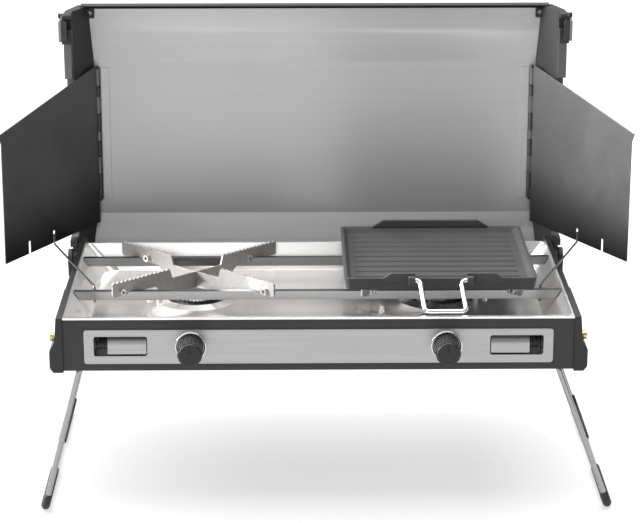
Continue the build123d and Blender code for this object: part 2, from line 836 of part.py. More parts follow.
def raised_edge(distance, points):
    """Outline of a rise of the rim, this far behind the front face."""
    with BuildSketch(Plane.XZ.offset(-back(distance))) as outline:
        with BuildLine():
            Polyline(*points, close=True)
        make_face()
    return outline.sketch


with BuildPart() as griddle_plate:
    with BuildSketch(Plane.XY.offset(griddle_z)):
        with Locations((griddle_x, griddle_y)):
            RectangleRounded(griddle_w - 5.0, griddle_d - 5.0, 4.0)
    with BuildSketch(Plane.XY.offset(griddle_rim)):
        with Locations((griddle_x, griddle_y)):
            RectangleRounded(griddle_w, griddle_d, 5.5)
    loft()
    low, tab, shoulder = griddle_rim - 3.0, griddle_rim + 6.5, griddle_rim + 4.5
    tab_points = [(griddle_x - 61.0, low), (griddle_x + 61.0, low), (griddle_x + 45.0, tab), (griddle_x - 45.0, tab)]
    lug_in, lug_out = lug_x0 + lug / 2, lug_x1 - lug / 2
    left_points = [(lug_x0 - 30.0, low), (lug_in, low), (lug_in, shoulder), (lug_x0 - 18.0, shoulder)]
    right_points = [(lug_out, low), (lug_x1 + 34.0, low), (lug_x1 + 22.0, shoulder), (lug_out, shoulder)]
    extrude(raised_edge(griddle_back1 - 4.0, tab_points), amount=-4.0)
    extrude(raised_edge(griddle_back0, left_points), amount=-4.0)
    extrude(raised_edge(griddle_back0, right_points), amount=-4.0)
    with BuildSketch(Plane.XY.offset(griddle_floor)):
        with Locations((griddle_x, griddle_y)):
            RectangleRounded(griddle_w - 13.0, griddle_d - 13.0, 3.0)
    with BuildSketch(Plane.XY.offset(griddle_rim)):
        with Locations((griddle_x, griddle_y)):
            RectangleRounded(griddle_w - 6.0, griddle_d - 6.0, 4.0)
    loft(mode=Mode.SUBTRACT)
    with BuildSketch(Plane.YZ.offset(rib_x0)):
        with Locations((griddle_y, griddle_floor + rib_height - rib_radius)):
            with GridLocations(rib_pitch, 0, rib_count, 1):
                Circle(rib_radius)
    extrude(amount=rib_x1 - rib_x0)
    for x in (lug_x0, lug_x1):
        with Locations((x, handle_y + 1.25, handle_z - 0.5)):
            Box(lug, 8.5, 7.5)
    with BuildSketch(Plane.YZ.offset(handle_x0 - 10.0)):
        with Locations((handle_y, handle_z)):
            Circle(2.25)
    extrude(amount=handle_x1 - handle_x0 + 20.0, mode=Mode.SUBTRACT)
save(griddle_plate, "griddle_plate")

handle_bar_y = back(15.0)
handle_bar_z = rim_z - 0.4
griddle_handle = bent_wire(
    [
        (handle_x0 - 9.5, handle_y, handle_z),
        (handle_x0, handle_y, handle_z),
        (handle_x0 + handle_skew, handle_bar_y, handle_bar_z),
        (handle_x1 + handle_skew, handle_bar_y, handle_bar_z),
        (handle_x1, handle_y, handle_z),
        (handle_x1 + 9.5, handle_y, handle_z),
    ],
    2.2,
    4.0,
)
save(griddle_handle, "griddle_handle")

# Lid: liner and outer shell are bent sheets, drawn from the hinge end to the free end
liner_bends = [(47.0, -3.0), (lid_depth, 30.5), (lid_depth, 184.0), (49.0, lid_length - 3.0)]
shell_depth = lid_depth + 4.5
shell_bends = [(36.0, -6.0), (52.5, -6.0), (shell_depth, 29.0), (shell_depth, 185.5)]
shell_bends += [(53.0, lid_length), (42.0, lid_length)]
with BuildPart() as lid_liner:
    with BuildSketch(Plane.YZ.offset(-liner_half - 15.0)):
        with BuildLine():
            Polyline(*ribbon([lid_yz(*p) for p in liner_bends], -0.8), close=True)
        make_face()
    extrude(amount=2 * (liner_half + 15.0))
    with BuildSketch(Plane.XY.offset(hinge_z - 20.0)):
        with BuildLine():
            slope = (rim_inner - 0.2 - liner_half) / (lid_depth - 20.0)
            inner = [(liner_half, hinge_y + lid_depth + 3.0), (liner_half, hinge_y + lid_depth)]
            inner += [(liner_half + slope * 30.0, hinge_y + lid_depth - 30.0)]
            Polyline(*inner, *[(-x, y) for x, y in inner[::-1]], close=True)
        make_face()
    extrude(amount=lid_length + 40.0, mode=Mode.INTERSECT)
save(lid_liner, "lid_liner")

shell_half = 226.8
with BuildPart() as lid_shell:
    with BuildSketch(Plane.YZ.offset(-shell_half)):
        with BuildLine():
            Polyline(*ribbon([lid_yz(*p) for p in shell_bends], -sheet), close=True)
        make_face()
    extrude(amount=2 * shell_half)
save(lid_shell, "lid_shell")

latch_u0 = 213.0
latch_u1 = lid_length
latch_pin_x = 242.6
latch_pin_w = 13.0
hinge_lug_x0 = 233.0
hinge_lug_x1 = 237.0
notch_u0 = 20.0
notch_u1 = 174.5
notch_depth = 21.6


def lid_end_cap(side):
    """Moulded end of the lid: sloped wall, rim, latch housing and hinge lug."""
    with BuildPart() as cap:
        with BuildSketch(Plane.XY.offset(hinge_z - 6.0)):
            with BuildLine():
                Polyline(
                    (side * rim_inner, hinge_y),
                    (side * rim_outer, hinge_y),
                    (side * rim_outer, hinge_y + 24.0),
                    (side * (shell_half + 0.4), hinge_y + lid_depth + 4.3),
                    (side * (liner_half + 0.2), hinge_y + lid_depth + 4.3),
                    (side * (liner_half + 0.2), hinge_y + lid_depth),
                    (side * rim_inner, hinge_y + 20.0),
                    close=True,
                )
            make_face()
        extrude(amount=lid_length + 5.8)
        # the shell's bends bound the cap at both ends
        with BuildSketch(Plane.YZ.offset(side * 200.0)):
            with BuildLine():
                Polyline(
                    lid_yz(lid_depth + 4.3, 185.4),
                    lid_yz(52.7, lid_length + 0.5),
                    lid_yz(75.0, lid_length + 0.5),
                    lid_yz(75.0, 185.4),
                    close=True,
                )
            make_face()
            with BuildLine():
                Polyline(
                    lid_yz(lid_depth + 4.3, 29.2),
                    lid_yz(52.2, -6.5),
                    lid_yz(75.0, -6.5),
                    lid_yz(75.0, 29.2),
                    close=True,
                )
            make_face()
        extrude(amount=side * 60.0, mode=Mode.SUBTRACT)
        # room behind the liner on both slopes
        with BuildSketch(Plane.YZ.offset(side * 200.0)):
            with BuildLine():
                Polyline(
                    lid_yz(lid_depth - 0.1, 184.0),
                    lid_yz(lid_depth + 1.0, 184.0),
                    lid_yz(50.1, lid_length + 1.0),
                    lid_yz(48.5, lid_length + 1.0),
                    close=True,
                )
            make_face()
        extrude(amount=side * 33.0, mode=Mode.SUBTRACT)
        with BuildSketch(Plane.YZ.offset(side * 200.0)):
            with BuildLine():
                Polyline(
                    lid_yz(lid_depth - 0.1, 30.6),
                    lid_yz(lid_depth + 1.0, 30.6),
                    lid_yz(47.0, -7.0),
                    lid_yz(45.5, -7.0),
                    close=True,
                )
            make_face()
        extrude(amount=side * 33.0, mode=Mode.SUBTRACT)
        # the rim stops short of the base's fork, and steps back where the windshield passes
        with Locations((side * 240.0, hinge_y + 5.0, hinge_z)):
            Box(60.0, 34.0, 24.0, mode=Mode.SUBTRACT)
        with BuildSketch(Plane.YZ.offset(side * 225.0)):
            with BuildLine():
                Polyline(
                    lid_yz(-5.0, notch_u0 - 2.0),
                    lid_yz(notch_depth, notch_u0),
                    lid_yz(notch_depth, notch_u1),
                    lid_yz(-5.0, notch_u1 + 6.0),
                    close=True,
                )
            make_face()
        extrude(amount=side * 20.0, mode=Mode.SUBTRACT)
        with BuildSketch(Plane.YZ.offset(side * hinge_lug_x0)):
            with Locations((hinge_y, hinge_z)):
                Circle(8.5)
            with Locations((hinge_y + 4.0, hinge_z + 7.0)):
                Rectangle(9.0, 14.0)
        extrude(amount=side * (hinge_lug_x1 - hinge_lug_x0))
        with Locations((side * 236.0, hinge_y + 6.0, hinge_z + 13.0)):
            Box(7.0, 8.0, 3.0)
        with BuildSketch(Plane.YZ.offset(side * 230.0)):
            with Locations((hinge_y, hinge_z)):
                Circle(3.05)
        extrude(amount=side * 12.0, mode=Mode.SUBTRACT)
        # latch housing with its opening for the stud
        with BuildSketch(Plane.XY.offset(hinge_z + latch_u0)):
            with BuildLine():
                Polyline(
                    (side * rim_inner, hinge_y - 1.0),
                    (side * 240.5, hinge_y - 1.0),
                    (side * 241.5, hinge_y),
                    (side * 241.5, hinge_y + 16.0),
                    (side * 236.0, hinge_y + 22.0),
                    (side * rim_inner, hinge_y + 18.0),
                    close=True,
                )
            make_face()
        extrude(amount=latch_u1 - latch_u0 - 1.2)
        for u in (latch_u0, latch_u1 - 4.7):
            with Locations((side * 242.6, hinge_y + latch_pin_w, hinge_z + u + 1.75)):
                Box(5.0, 5.0, 3.5)
        latch_middle = hinge_z + (latch_u0 + latch_u1 - 1.2) / 2
        with Locations((side * latch_pin_x, hinge_y + latch_pin_w, latch_middle)):
            Cylinder(1.52, 40.0, mode=Mode.SUBTRACT)
            Cylinder(2.8, latch_u1 - latch_u0 - 8.2, mode=Mode.SUBTRACT)
        with Locations((side * 234.0, hinge_y + 3.5, hinge_z + 231.5)):
            Box(7.8, 12.0, 11.0, mode=Mode.SUBTRACT)
        # fixing tab over the liner's top corner
        with Locations((side * 220.5, hinge_y + 47.3, hinge_z + lid_length - 7.5)):
            Box(13.0, 1.6, 9.0)
        with BuildSketch(Plane.XZ.offset(-(hinge_y + 45.0))):
            with Locations((side * 218.0, hinge_z + lid_length - 7.5)):
                Circle(2.2)
        extrude(amount=-3.2, mode=Mode.SUBTRACT)
    return cap


def latch_lever(side):
    """Pressed latch plate rolled round its pin, with a lip that catches the stud."""
    with BuildPart() as lever:
        with BuildSketch(Plane.XY.offset(hinge_z + latch_u0 + 3.9)):
            with Locations((side * latch_pin_x, hinge_y + latch_pin_w)):
                Circle(2.4)
            with Locations((side * 242.6, hinge_y + 3.0)):
                Rectangle(1.6, 20.0)
            with Locations((side * 239.5, hinge_y - 6.3)):
                Rectangle(7.8, 1.4)
            with Locations((side * latch_pin_x, hinge_y + latch_pin_w)):
                Circle(1.56, mode=Mode.SUBTRACT)
        extrude(amount=latch_u1 - latch_u0 - 4.7 - 4.3)
    return lever


for name, side in sides.items():
    save(lid_end_cap(side), f"lid_end_cap_{name}")
    save(latch_lever(side), f"latch_lever_{name}")

with BuildPart() as latch_pins:
    for side in sides.values():
        with Locations((side * latch_pin_x, hinge_y + latch_pin_w, hinge_z + latch_u0)):
            Cylinder(1.5, latch_u1 - latch_u0 - 1.2, align=(Align.CENTER, Align.CENTER, Align.MIN))
save(latch_pins, "latch_pins")

with BuildPart() as lid_hinge_pins:
    for side in sides.values():
        with BuildSketch(Plane.YZ.offset(side * 225.6)):
            with Locations((hinge_y, hinge_z)):
                Circle(3.0)
        extrude(amount=side * 16.4)
save(lid_hinge_pins, "lid_hinge_pins")

# Windshields: panels that stand out from knuckles along the liner's sides
shield_w = 54.2
shield_low = 22.7
shield_high = 181.0
shield_drop = 33.5
shield_flare = 4.0
knuckle_radius = 2.6
shield_knuckles = [(46.0, 10.0), (72.0, 17.0), (106.0, 9.0), (133.0, 17.0), (161.0, 17.0)]
leaf_knuckles = [(57.0, 14.0), (90.0, 15.0), (116.0, 16.0), (151.0, 9.0)]
slot_reaches = (84.0, 125.0)
slot_height = 12.5


def shield_heading(side):
    """Direction in which a panel stands out, in the open pose."""
    return (side * cos(radians(shield_angle)), -sin(radians(shield_angle)), 0)


def windshield(side):
    """Panel with a sloped top edge that ends in a small flare, two open slots and bored knuckles."""
    heading = shield_heading(side)
    origin = (side * shield_x, hinge_y + shield_w, hinge_z)
    upright = Plane(origin=origin, x_dir=heading, z_dir=(heading[1], -heading[0], 0))
    with BuildPart() as panel:
        with BuildSketch(upright):
            with BuildLine():
                Polyline(
                    (3.3, shield_low),
                    (shield_length, shield_low),
                    (shield_length, shield_high - shield_drop - 9.0),
                    (shield_length + shield_flare, shield_high - shield_drop - 1.0),
                    (3.3, shield_high),
                    close=True,
                )
            make_face()
            for reach in slot_reaches:
                with Locations((reach, shield_low + slot_height / 2 - 2.0)):
                    Rectangle(4.0, slot_height, mode=Mode.SUBTRACT)
                with Locations((reach, shield_low + slot_height - 2.0)):
                    Circle(2.0, mode=Mode.SUBTRACT)
            for low, length in shield_knuckles:
                with Locations((2.6, low + length / 2)):
                    Rectangle(2.0, length)
        extrude(amount=0.5, both=True)
        for low, length in shield_knuckles:
            with Locations((origin[0], origin[1], hinge_z + low)):
                Cylinder(knuckle_radius, length, align=(Align.CENTER, Align.CENTER, Align.MIN))
        with Locations((origin[0], origin[1], hinge_z)):
            Cylinder(1.36, 400.0, mode=Mode.SUBTRACT)
    return panel


def windshield_hinge(side):
    """Leaf fixed to the liner, with its knuckles and the pin that they hold."""
    x = side * shield_x
    y = hinge_y + shield_w
    with BuildPart() as leaf:
        for low, length in leaf_knuckles:
            with Locations((x, y, hinge_z + low)):
                Cylinder(knuckle_radius, length, align=(Align.CENTER, Align.CENTER, Align.MIN))
            with Locations((x - side * 4.0, hinge_y + lid_depth - 0.5, hinge_z + low + length / 2)):
                Box(8.6, 1.0, length)
        with Locations((x - side * 7.0, hinge_y + lid_depth - 0.5, hinge_z + (46.0 + 178.0) / 2)):
            Box(8.0, 1.0, 132.0)
        with Locations((x, y, hinge_z + 44.0)):
            Cylinder(1.3, 136.0, align=(Align.CENTER, Align.CENTER, Align.MIN))
    return leaf


def stay(side):
    """Wire that turns in the front rail's lug and holds the windshield by its slot."""
    heading = shield_heading(side)
    slot = (
        side * shield_x + heading[0] * slot_reaches[0],
        hinge_y + shield_w + heading[1] * slot_reaches[0],
    )
    foot = (side * stay_x, back(rail_backs["front"] + stay_behind))
    run_z = rim_z + stay_wire + 0.3
    corners = [(*foot, rim_z - 14.0), (*foot, run_z), (*slot, run_z), (*slot, run_z + 10.0)]
    return bent_wire(corners, stay_wire, 2.5)


for name, side in sides.items():
    save(windshield(side), f"windshield_{name}")
    save(windshield_hinge(side), f"windshield_hinge_{name}")
    save(stay(side), f"stay_{name}")
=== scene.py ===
# %% [markdown]
# # A folding camp stove
# The stove stands on splayed wire legs with its lid open. Its sheet and moulded pieces come from a solid
# model, and this lesson gives them their finishes, their light and the fine pieces that a solid model leaves
# plain. Everything is in metres, with +X to the right, +Y to the back and +Z up from the ground.

# %% The frame
import json
import math

import bpy
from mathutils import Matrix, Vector


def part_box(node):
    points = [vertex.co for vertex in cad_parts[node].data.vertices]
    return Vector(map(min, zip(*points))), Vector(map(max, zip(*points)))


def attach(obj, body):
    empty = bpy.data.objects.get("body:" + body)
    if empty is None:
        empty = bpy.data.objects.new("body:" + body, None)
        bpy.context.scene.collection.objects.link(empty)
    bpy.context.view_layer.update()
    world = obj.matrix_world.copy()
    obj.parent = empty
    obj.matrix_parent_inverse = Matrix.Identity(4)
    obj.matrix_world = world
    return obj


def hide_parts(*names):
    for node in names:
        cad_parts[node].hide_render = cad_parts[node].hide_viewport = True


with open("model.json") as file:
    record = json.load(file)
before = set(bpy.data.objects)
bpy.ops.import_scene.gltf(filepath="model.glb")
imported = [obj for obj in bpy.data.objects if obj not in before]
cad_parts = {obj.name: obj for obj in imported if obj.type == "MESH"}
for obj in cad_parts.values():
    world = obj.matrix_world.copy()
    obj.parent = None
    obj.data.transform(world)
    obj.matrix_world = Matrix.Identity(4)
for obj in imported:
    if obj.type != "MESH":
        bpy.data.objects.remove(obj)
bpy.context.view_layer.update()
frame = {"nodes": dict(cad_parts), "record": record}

nodes = frame["nodes"]
mm = 0.001
sides = {"left": -1, "right": 1}
scene = bpy.context.scene

# %% [markdown]
# ## The camera
# The photograph was taken from in front, from a little over the lid's top edge and from far enough back that
# the base hardly tapers. A long lens gives that: its focal length in pixels, divided by the picture's width
# in pixels, is the lens over the sensor's width. The eye is moved round the stove by well under a degree,
# because the lid's middle stands a few pixels to the left of the base's.

# %% Camera
picture_width = 640
focal_pixels = 2255.0
look_down = math.radians(17.05)
eye_distance = 2.009
eye_height = 0.809
eye_turn = math.radians(-0.65)
eye_aim = math.radians(-0.08)

camera_data = bpy.data.cameras.new("photo_camera")
camera_data.sensor_fit = "HORIZONTAL"
camera_data.sensor_width = 36.0
camera_data.lens = focal_pixels / picture_width * camera_data.sensor_width
camera_data.clip_end = 60.0
camera = bpy.data.objects.new("photo_camera", camera_data)
camera.location = (eye_distance * math.sin(eye_turn), -eye_distance * math.cos(eye_turn), eye_height)
camera.rotation_euler = (math.pi / 2 - look_down, 0, eye_turn + eye_aim)
scene.collection.objects.link(camera)
scene.camera = camera
print("lens:", round(camera_data.lens, 1), "mm")

# %% [markdown]
# ## Writing nodes as expressions
# A finish is a small network of nodes. Linking each node by hand hides the idea, so one class wraps a socket:
# arithmetic on it adds Math nodes, and its add method makes any other node from its settings and its
# sockets. The same class serves shader trees and geometry trees, because both link sockets in the same way.

# %% A socket that does arithmetic
class Flow:
    """One output socket of a node tree. Operators on it add Math nodes."""

    def __init__(self, tree, socket):
        self.tree = tree
        self.socket = socket

    def add(self, kind, settings=None, sockets=None, out=0):
        """Add a node of any kind: its settings first, then its sockets' values or links."""
        node = self.tree.nodes.new(kind)
        for key, value in (settings or {}).items():
            setattr(node, key, value)
        for key, value in (sockets or {}).items():
            if isinstance(value, Flow):
                self.tree.links.new(value.socket, node.inputs[key])
            else:
                node.inputs[key].default_value = value
        return Flow(self.tree, node.outputs[out])

    def calc(self, operation, *values):
        """A Math node on these values."""
        return self.add("ShaderNodeMath", {"operation": operation}, dict(enumerate(values)))

    def __add__(self, other):
        return self.calc("ADD", self, other)

    def __radd__(self, other):
        return self.calc("ADD", other, self)

    def __sub__(self, other):
        return self.calc("SUBTRACT", self, other)

    def __rsub__(self, other):
        return self.calc("SUBTRACT", other, self)

    def __mul__(self, other):
        return self.calc("MULTIPLY", self, other)

    def __rmul__(self, other):
        return self.calc("MULTIPLY", other, self)

    def __truediv__(self, other):
        return self.calc("DIVIDE", self, other)

    def __pow__(self, other):
        return self.calc("POWER", self, other)

    def axes(self):
        """The X, Y and Z of a place, as three flows."""
        apart = self.add("ShaderNodeSeparateXYZ", {}, {0: self}).socket.node
        return [Flow(self.tree, socket) for socket in apart.outputs]

    def fade(self, low, high):
        """0 below low and 1 above high, smooth between them."""
        limits = {"Value": self, "From Min": low, "From Max": high}
        return self.add("ShaderNodeMapRange", {"interpolation_type": "SMOOTHSTEP"}, limits)

    def mix(self, first, second):
        """The first colour where this value is 0, the second where it is 1."""
        colours = {0: self, 6: first, 7: second}
        return self.add("ShaderNodeMix", {"data_type": "RGBA"}, colours, out=2)


# %% Starting a finish
finishes = {}


def start_finish(name):
    """A new material, kept by its name: its surface node, and the place of each point on the object."""
    material = bpy.data.materials.new(name)
    material.use_nodes = True
    finishes[name] = material
    tree = material.node_tree
    surface = tree.nodes["Principled BSDF"]
    place = Flow(tree, tree.nodes.new("ShaderNodeTexCoord").outputs["Object"])
    return surface, place


def feed(surface, **values):
    """Set or link the surface's sockets, named with _ for spaces."""
    for key, value in values.items():
        socket = surface.inputs[key.replace("_", " ")]
        if isinstance(value, Flow):
            value.tree.links.new(value.socket, socket)
        else:
            socket.default_value = value


# %% Colour, noise, edges and bumps
def grey(level, warmth=0.0):
    """A neutral colour, or a slightly warm or cold one."""
    return (level * (1 + warmth), level, level * (1 - warmth), 1.0)


def speckle(place, size, detail=3.0, stretch=(1.0, 1.0, 1.0)):
    """Noise from 0 to 1 with grains of about this size, drawn out along the axes by stretch."""
    scale = tuple(1 / (size * s) for s in stretch)
    grains = place.add("ShaderNodeMapping", {}, {"Vector": place, "Scale": scale})
    return place.add("ShaderNodeTexNoise", {}, {"Vector": grains, "Scale": 1.0, "Detail": detail})


def soft_edge(place, radius):
    """The normal with its edges rounded, and a mask of those edges."""
    rounded = place.add("ShaderNodeBevel", {"samples": 6}, {"Radius": radius})
    flat = place.add("ShaderNodeNewGeometry", out="Normal")
    pair = {0: rounded, 1: flat}
    agree = place.add("ShaderNodeVectorMath", {"operation": "DOT_PRODUCT"}, pair, out="Value")
    return rounded, (1 - agree).fade(0.01, 0.2)


def outer_band(place, start, deep, low, high):
    """1 on what lies further out to either side than start, in front of deep and between two heights."""
    line = 0.4 * mm
    across, depth, height = place.axes()
    outside = across.calc("ABSOLUTE", across).fade(start, start + line)
    between = height.fade(low, low + line) * (1 - height.fade(high, high + line))
    return outside * between * (1 - depth.fade(deep, deep + line))


def relief(height, depth, strength, normal):
    """A bump of this height field, so many metres deep, over a normal."""
    values = {"Strength": strength, "Distance": depth, "Height": height, "Normal": normal}
    return height.add("ShaderNodeBump", {}, values)


# %% [markdown]
# ## Paint, moulded plastic and rubber
# These finishes differ in colour, gloss and grain, but each is a coat with a fine grain, a slow drift of tone
# and edges that have rubbed a little paler. A painted texture would need unwrapping; noise on the object's
# own coordinates needs none, and stays the same size on every piece. One function makes them all. Two extras
# come from the same coordinates: a paler strip at the outer edge of the lid's caps and latches, and painted
# shade that darkens the windshields towards their foot, standing in for the shadow that falls there, most on
# the right one.

# %% How a coat is made
def coat(
    name,
    level,
    gloss,
    grain,
    depth,
    worn,
    edge=0.6 * mm,
    metal=0.0,
    warmth=0.0,
    shine=0.4,
    band=None,
    strip=0.09,
    foot=None,
):
    """A paint, moulding or rubber: level of grey, roughness, grain size and depth, and how much edges wear.

    A band is where a strip of another grey lies, and a foot is the two heights between which painted shade
    darkens the coat towards the bottom.
    """
    surface, place = start_finish(name)
    rounded, edges = soft_edge(place, edge)
    drift = speckle(place, 60 * mm)
    pores = speckle(place, grain, detail=2.0)
    handled = speckle(place, 14 * mm, detail=4.0)
    tone = (drift * 0.6 + pores * 0.4).fade(0.25, 0.75)
    body = tone.mix(grey(level * 0.86, warmth), grey(level * 1.16, warmth))
    if band:
        body = outer_band(place, *band).mix(body, grey(strip))
    # Painted shade: below the foot's upper height the coat darkens towards the bottom, to a fifth of its
    # grey.
    if foot:
        height = place.axes()[2]
        body = height.fade(*foot).mix(grey(level * 0.2, warmth), body)
    rubbed = edges * handled.fade(0.3, 0.7)
    bare = grey(min(0.6, level * 4 + 0.05), warmth)
    feed(surface, Base_Color=(rubbed * worn).mix(body, bare), Metallic=metal)
    feed(surface, Roughness=gloss - 0.06 + handled * 0.12 + rubbed * 0.08)
    feed(surface, Normal=relief(pores, depth, 0.6, rounded), Specular_IOR_Level=shine)


# %% Where the strips and the painted shade at the windshields' foot lie
pin_low, pin_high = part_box("lid_hinge_pins")
pivot_y = (pin_low.y + pin_high.y) / 2
pivot_z = (pin_low.z + pin_high.z) / 2
cap_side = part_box("lid_end_cap_right")[1].x
rim_width = 12.9 * mm
rim_depth = 23.8 * mm
rim_foot = 19 * mm
rim_top = 213 * mm
lid_rim = (cap_side - rim_width, pivot_y + rim_depth, pivot_z + rim_foot, pivot_z + rim_top)

latch_low, latch_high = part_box("latch_lever_right")
latch_strip = 4.2 * mm
latch_edge = (latch_high.x - latch_strip, latch_high.y + mm, latch_low.z - mm, latch_high.z + mm)

# Painted shade on the windshields: their coat darkens over the lowest 70 mm, down to a fifth of its grey at
# the bottom edge.
shield_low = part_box("windshield_right")[0].z
painted_shade_below = 4 * mm
painted_shade_above = 70 * mm
shield_painted_shade = (shield_low - painted_shade_below, shield_low + painted_shade_above)
print("lid rim from", round(lid_rim[2] / mm), "to", round(lid_rim[3] / mm), "mm up")

# %% The coats in use
# Each line: grey level, roughness, size and depth of the grain, wear of the edges
coat("dark_paint", 0.027, 0.45, 0.9 * mm, 0.03 * mm, 0.25)
coat("black_plastic", 0.018, 0.50, 0.5 * mm, 0.05 * mm, 0.18)
coat("lid_plastic", 0.018, 0.50, 0.5 * mm, 0.05 * mm, 0.18, band=lid_rim)
coat("knob_plastic", 0.016, 0.46, 0.4 * mm, 0.03 * mm, 0.22, edge=0.5 * mm)
coat("griddle_coat", 0.054, 0.58, 0.7 * mm, 0.04 * mm, 0.12, edge=1.2 * mm, warmth=-0.02, shine=0.12)
# The windshields' coat carries painted shade towards its foot.
coat("shield_paint", 0.15, 0.42, 0.9 * mm, 0.02 * mm, 0.03, metal=0.9, foot=shield_painted_shade)
coat("latch_plate", 0.025, 0.42, 0.5 * mm, 0.02 * mm, 0.2, band=latch_edge, strip=0.17)
coat("rubber", 0.022, 0.62, 0.6 * mm, 0.05 * mm, 0.1)
coat("spring_steel", 0.035, 0.36, 0.3 * mm, 0.01 * mm, 0.3, edge=0.2 * mm, metal=0.5)
coat("stay_wire", 0.11, 0.32, 0.4 * mm, 0.01 * mm, 0.3, edge=0.2 * mm, metal=0.8)
coat("burner_iron", 0.060, 0.68, 1.1 * mm, 0.16 * mm, 0.35, edge=0.8 * mm, warmth=0.05)
coat("ceramic", 0.60, 0.22, 0.8 * mm, 0.01 * mm, 0.0, edge=0.3 * mm, warmth=0.04)
print("coats:", ", ".join(finishes))

# %% [markdown]
# ## Steel and brass
# Sheet steel shows how it was worked: a belt leaves long scratches, a roller leaves faint lines and a mirror
# finish only a slow waviness. All three are noise drawn out along X, which is the way the sheet ran. The
# streaks change the colour a little, the roughness more, and the bump least of all. The windshields' hinges
# are the liner's steel with black paint on their knuckles, so a band of paint can lie over the metal.

# %% How a steel is made
def steel(
    name, level, gloss, run, width, streaks, wave=0.0, warmth=0.0, smear=0.0, metal=1.0, band=None
):
    """A bare metal: level of grey, roughness, and how far its streaks run, their width and strength."""
    surface, place = start_finish(name)
    rounded, edges = soft_edge(place, 0.4 * mm)
    along_x = (run / width, 1.0, 1.0)
    lines = speckle(place, width, detail=4.0, stretch=along_x)
    broad = speckle(place, 6 * width, detail=2.0, stretch=along_x)
    drift = speckle(place, 90 * mm, detail=2.0)
    marks = (lines * 0.6 + broad * 0.4).fade(0.25, 0.75)
    pale = grey(min(0.95, level * (1 + 0.35 * streaks)), warmth)
    dull = grey(level * (1 - 0.45 * streaks), warmth)
    sheet = marks.mix(dull, pale)
    if band:
        painted = outer_band(place, *band)
        sheet = painted.mix(sheet, grey(0.03))
        metal = metal * (1 - painted)
    feed(surface, Base_Color=sheet, Metallic=metal, Anisotropic=smear, Anisotropic_Rotation=0.25)
    feed(surface, Roughness=gloss * (0.8 + 0.25 * drift + 0.3 * streaks * (1 - marks)) + edges * 0.05)
    scored = relief(marks, 0.012 * mm, 0.5 * streaks, rounded)
    if wave:
        swell = speckle(place, 55 * mm, detail=1.0)
        scored = relief(swell, wave, 0.5, scored)
    feed(surface, Normal=scored)


# %% The steels in use
hinge_low, hinge_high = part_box("windshield_hinge_right")
knuckle_width = 5.6 * mm
knuckles = (hinge_high.x - knuckle_width, hinge_high.y + mm, hinge_low.z - mm, hinge_high.z + mm)

# Each line: grey level, roughness, run and width of the streaks, their strength
liner_sheet = (0.51, 0.46, 140 * mm, 0.35 * mm, 0.12)
steel("brushed_steel", 0.41, 0.38, 60 * mm, 0.3 * mm, 0.25)
steel("polished_steel", 0.95, 0.20, 90 * mm, 0.8 * mm, 0.06, wave=0.3 * mm, warmth=0.015, metal=0.75)
steel("lid_liner_steel", *liner_sheet, smear=0.6, metal=0.70)
steel("hinge_steel", *liner_sheet, smear=0.6, metal=0.70, band=knuckles)
steel("rail_steel", 0.19, 0.34, 90 * mm, 0.6 * mm, 0.15)
steel("chrome", 0.68, 0.10, 20 * mm, 0.5 * mm, 0.15)
# Painted reflection: the legs' chrome is a darker copy of the chrome above, standing in for the dark
# surroundings that the rods mirror.
steel("leg_chrome", 0.33, 0.12, 20 * mm, 0.5 * mm, 0.15)
steel("tray_steel", 0.50, 0.45, 12 * mm, 0.4 * mm, 0.2, metal=0.5)
steel("support_steel", 0.35, 0.52, 20 * mm, 0.5 * mm, 0.35, warmth=0.02)
print("coats and steels:", len(finishes))


# %% Brass
def brass(name):
    """Turned brass with a little tarnish in its hollows."""
    bright = (0.80, 0.62, 0.27, 1)
    brown = (0.55, 0.40, 0.17, 1)
    surface, place = start_finish(name)
    rounded, edges = soft_edge(place, 0.3 * mm)
    tarnish = speckle(place, 4 * mm, detail=4.0).fade(0.45, 0.8)
    turned = speckle(place, 0.4 * mm, detail=2.0, stretch=(0.5, 8.0, 8.0))
    feed(surface, Base_Color=tarnish.mix(bright, brown), Metallic=1.0)
    feed(surface, Roughness=0.22 + tarnish * 0.2 - edges * 0.05)
    feed(surface, Normal=relief(turned, 0.02 * mm, 0.4, rounded))


brass("brass")
print("finishes in all:", len(finishes))

# %% [markdown]
# ## Giving the frame its finishes
# The record that comes with the frame says which slot each node belongs to, so no list of nodes is needed
# here. Six groups leave their slot's finish. The pot supports and the rails are the pan's steel, tumbled and
# rolled to duller greys. The windshields are a lacquered sheet that mirrors the pan a little, and their hinge
# leaves are the liner's steel with painted knuckles. The lid's end caps have a grey outer strip. The igniter
# trays' slot is black plastic, but what the photograph shows behind the flaps is a dull metal.

# %% Finishes on the frame's nodes
slots = {row["node"]: row["material_slot"] for row in frame["record"]["subparts"]}
own_finish = {
    "support_strip": "support_steel",
    "rail_": "rail_steel",
    "windshield_": "shield_paint",
    "windshield_hinge_": "hinge_steel",
    "lid_end_cap_": "lid_plastic",
    "igniter_body_": "tray_steel",
}
for name, slot_name in slots.items():
    for start, finish in own_finish.items():
        if name.startswith(start):
            slot_name = finish
    mesh = nodes[name].data
    mesh.materials.clear()
    mesh.materials.append(finishes[slot_name])
print("dressed", len(slots), "nodes")

# %% [markdown]
# ## Round wire
# The legs, the griddle's handle and the stays are wire bent round a former. A bevelled curve would do, but
# Geometry Nodes keep the bend radius as a named size: the corners of the route go in, a Fillet node rounds
# them, and a circle swept along gives a wire that shines smoothly where a faceted solid would flicker.

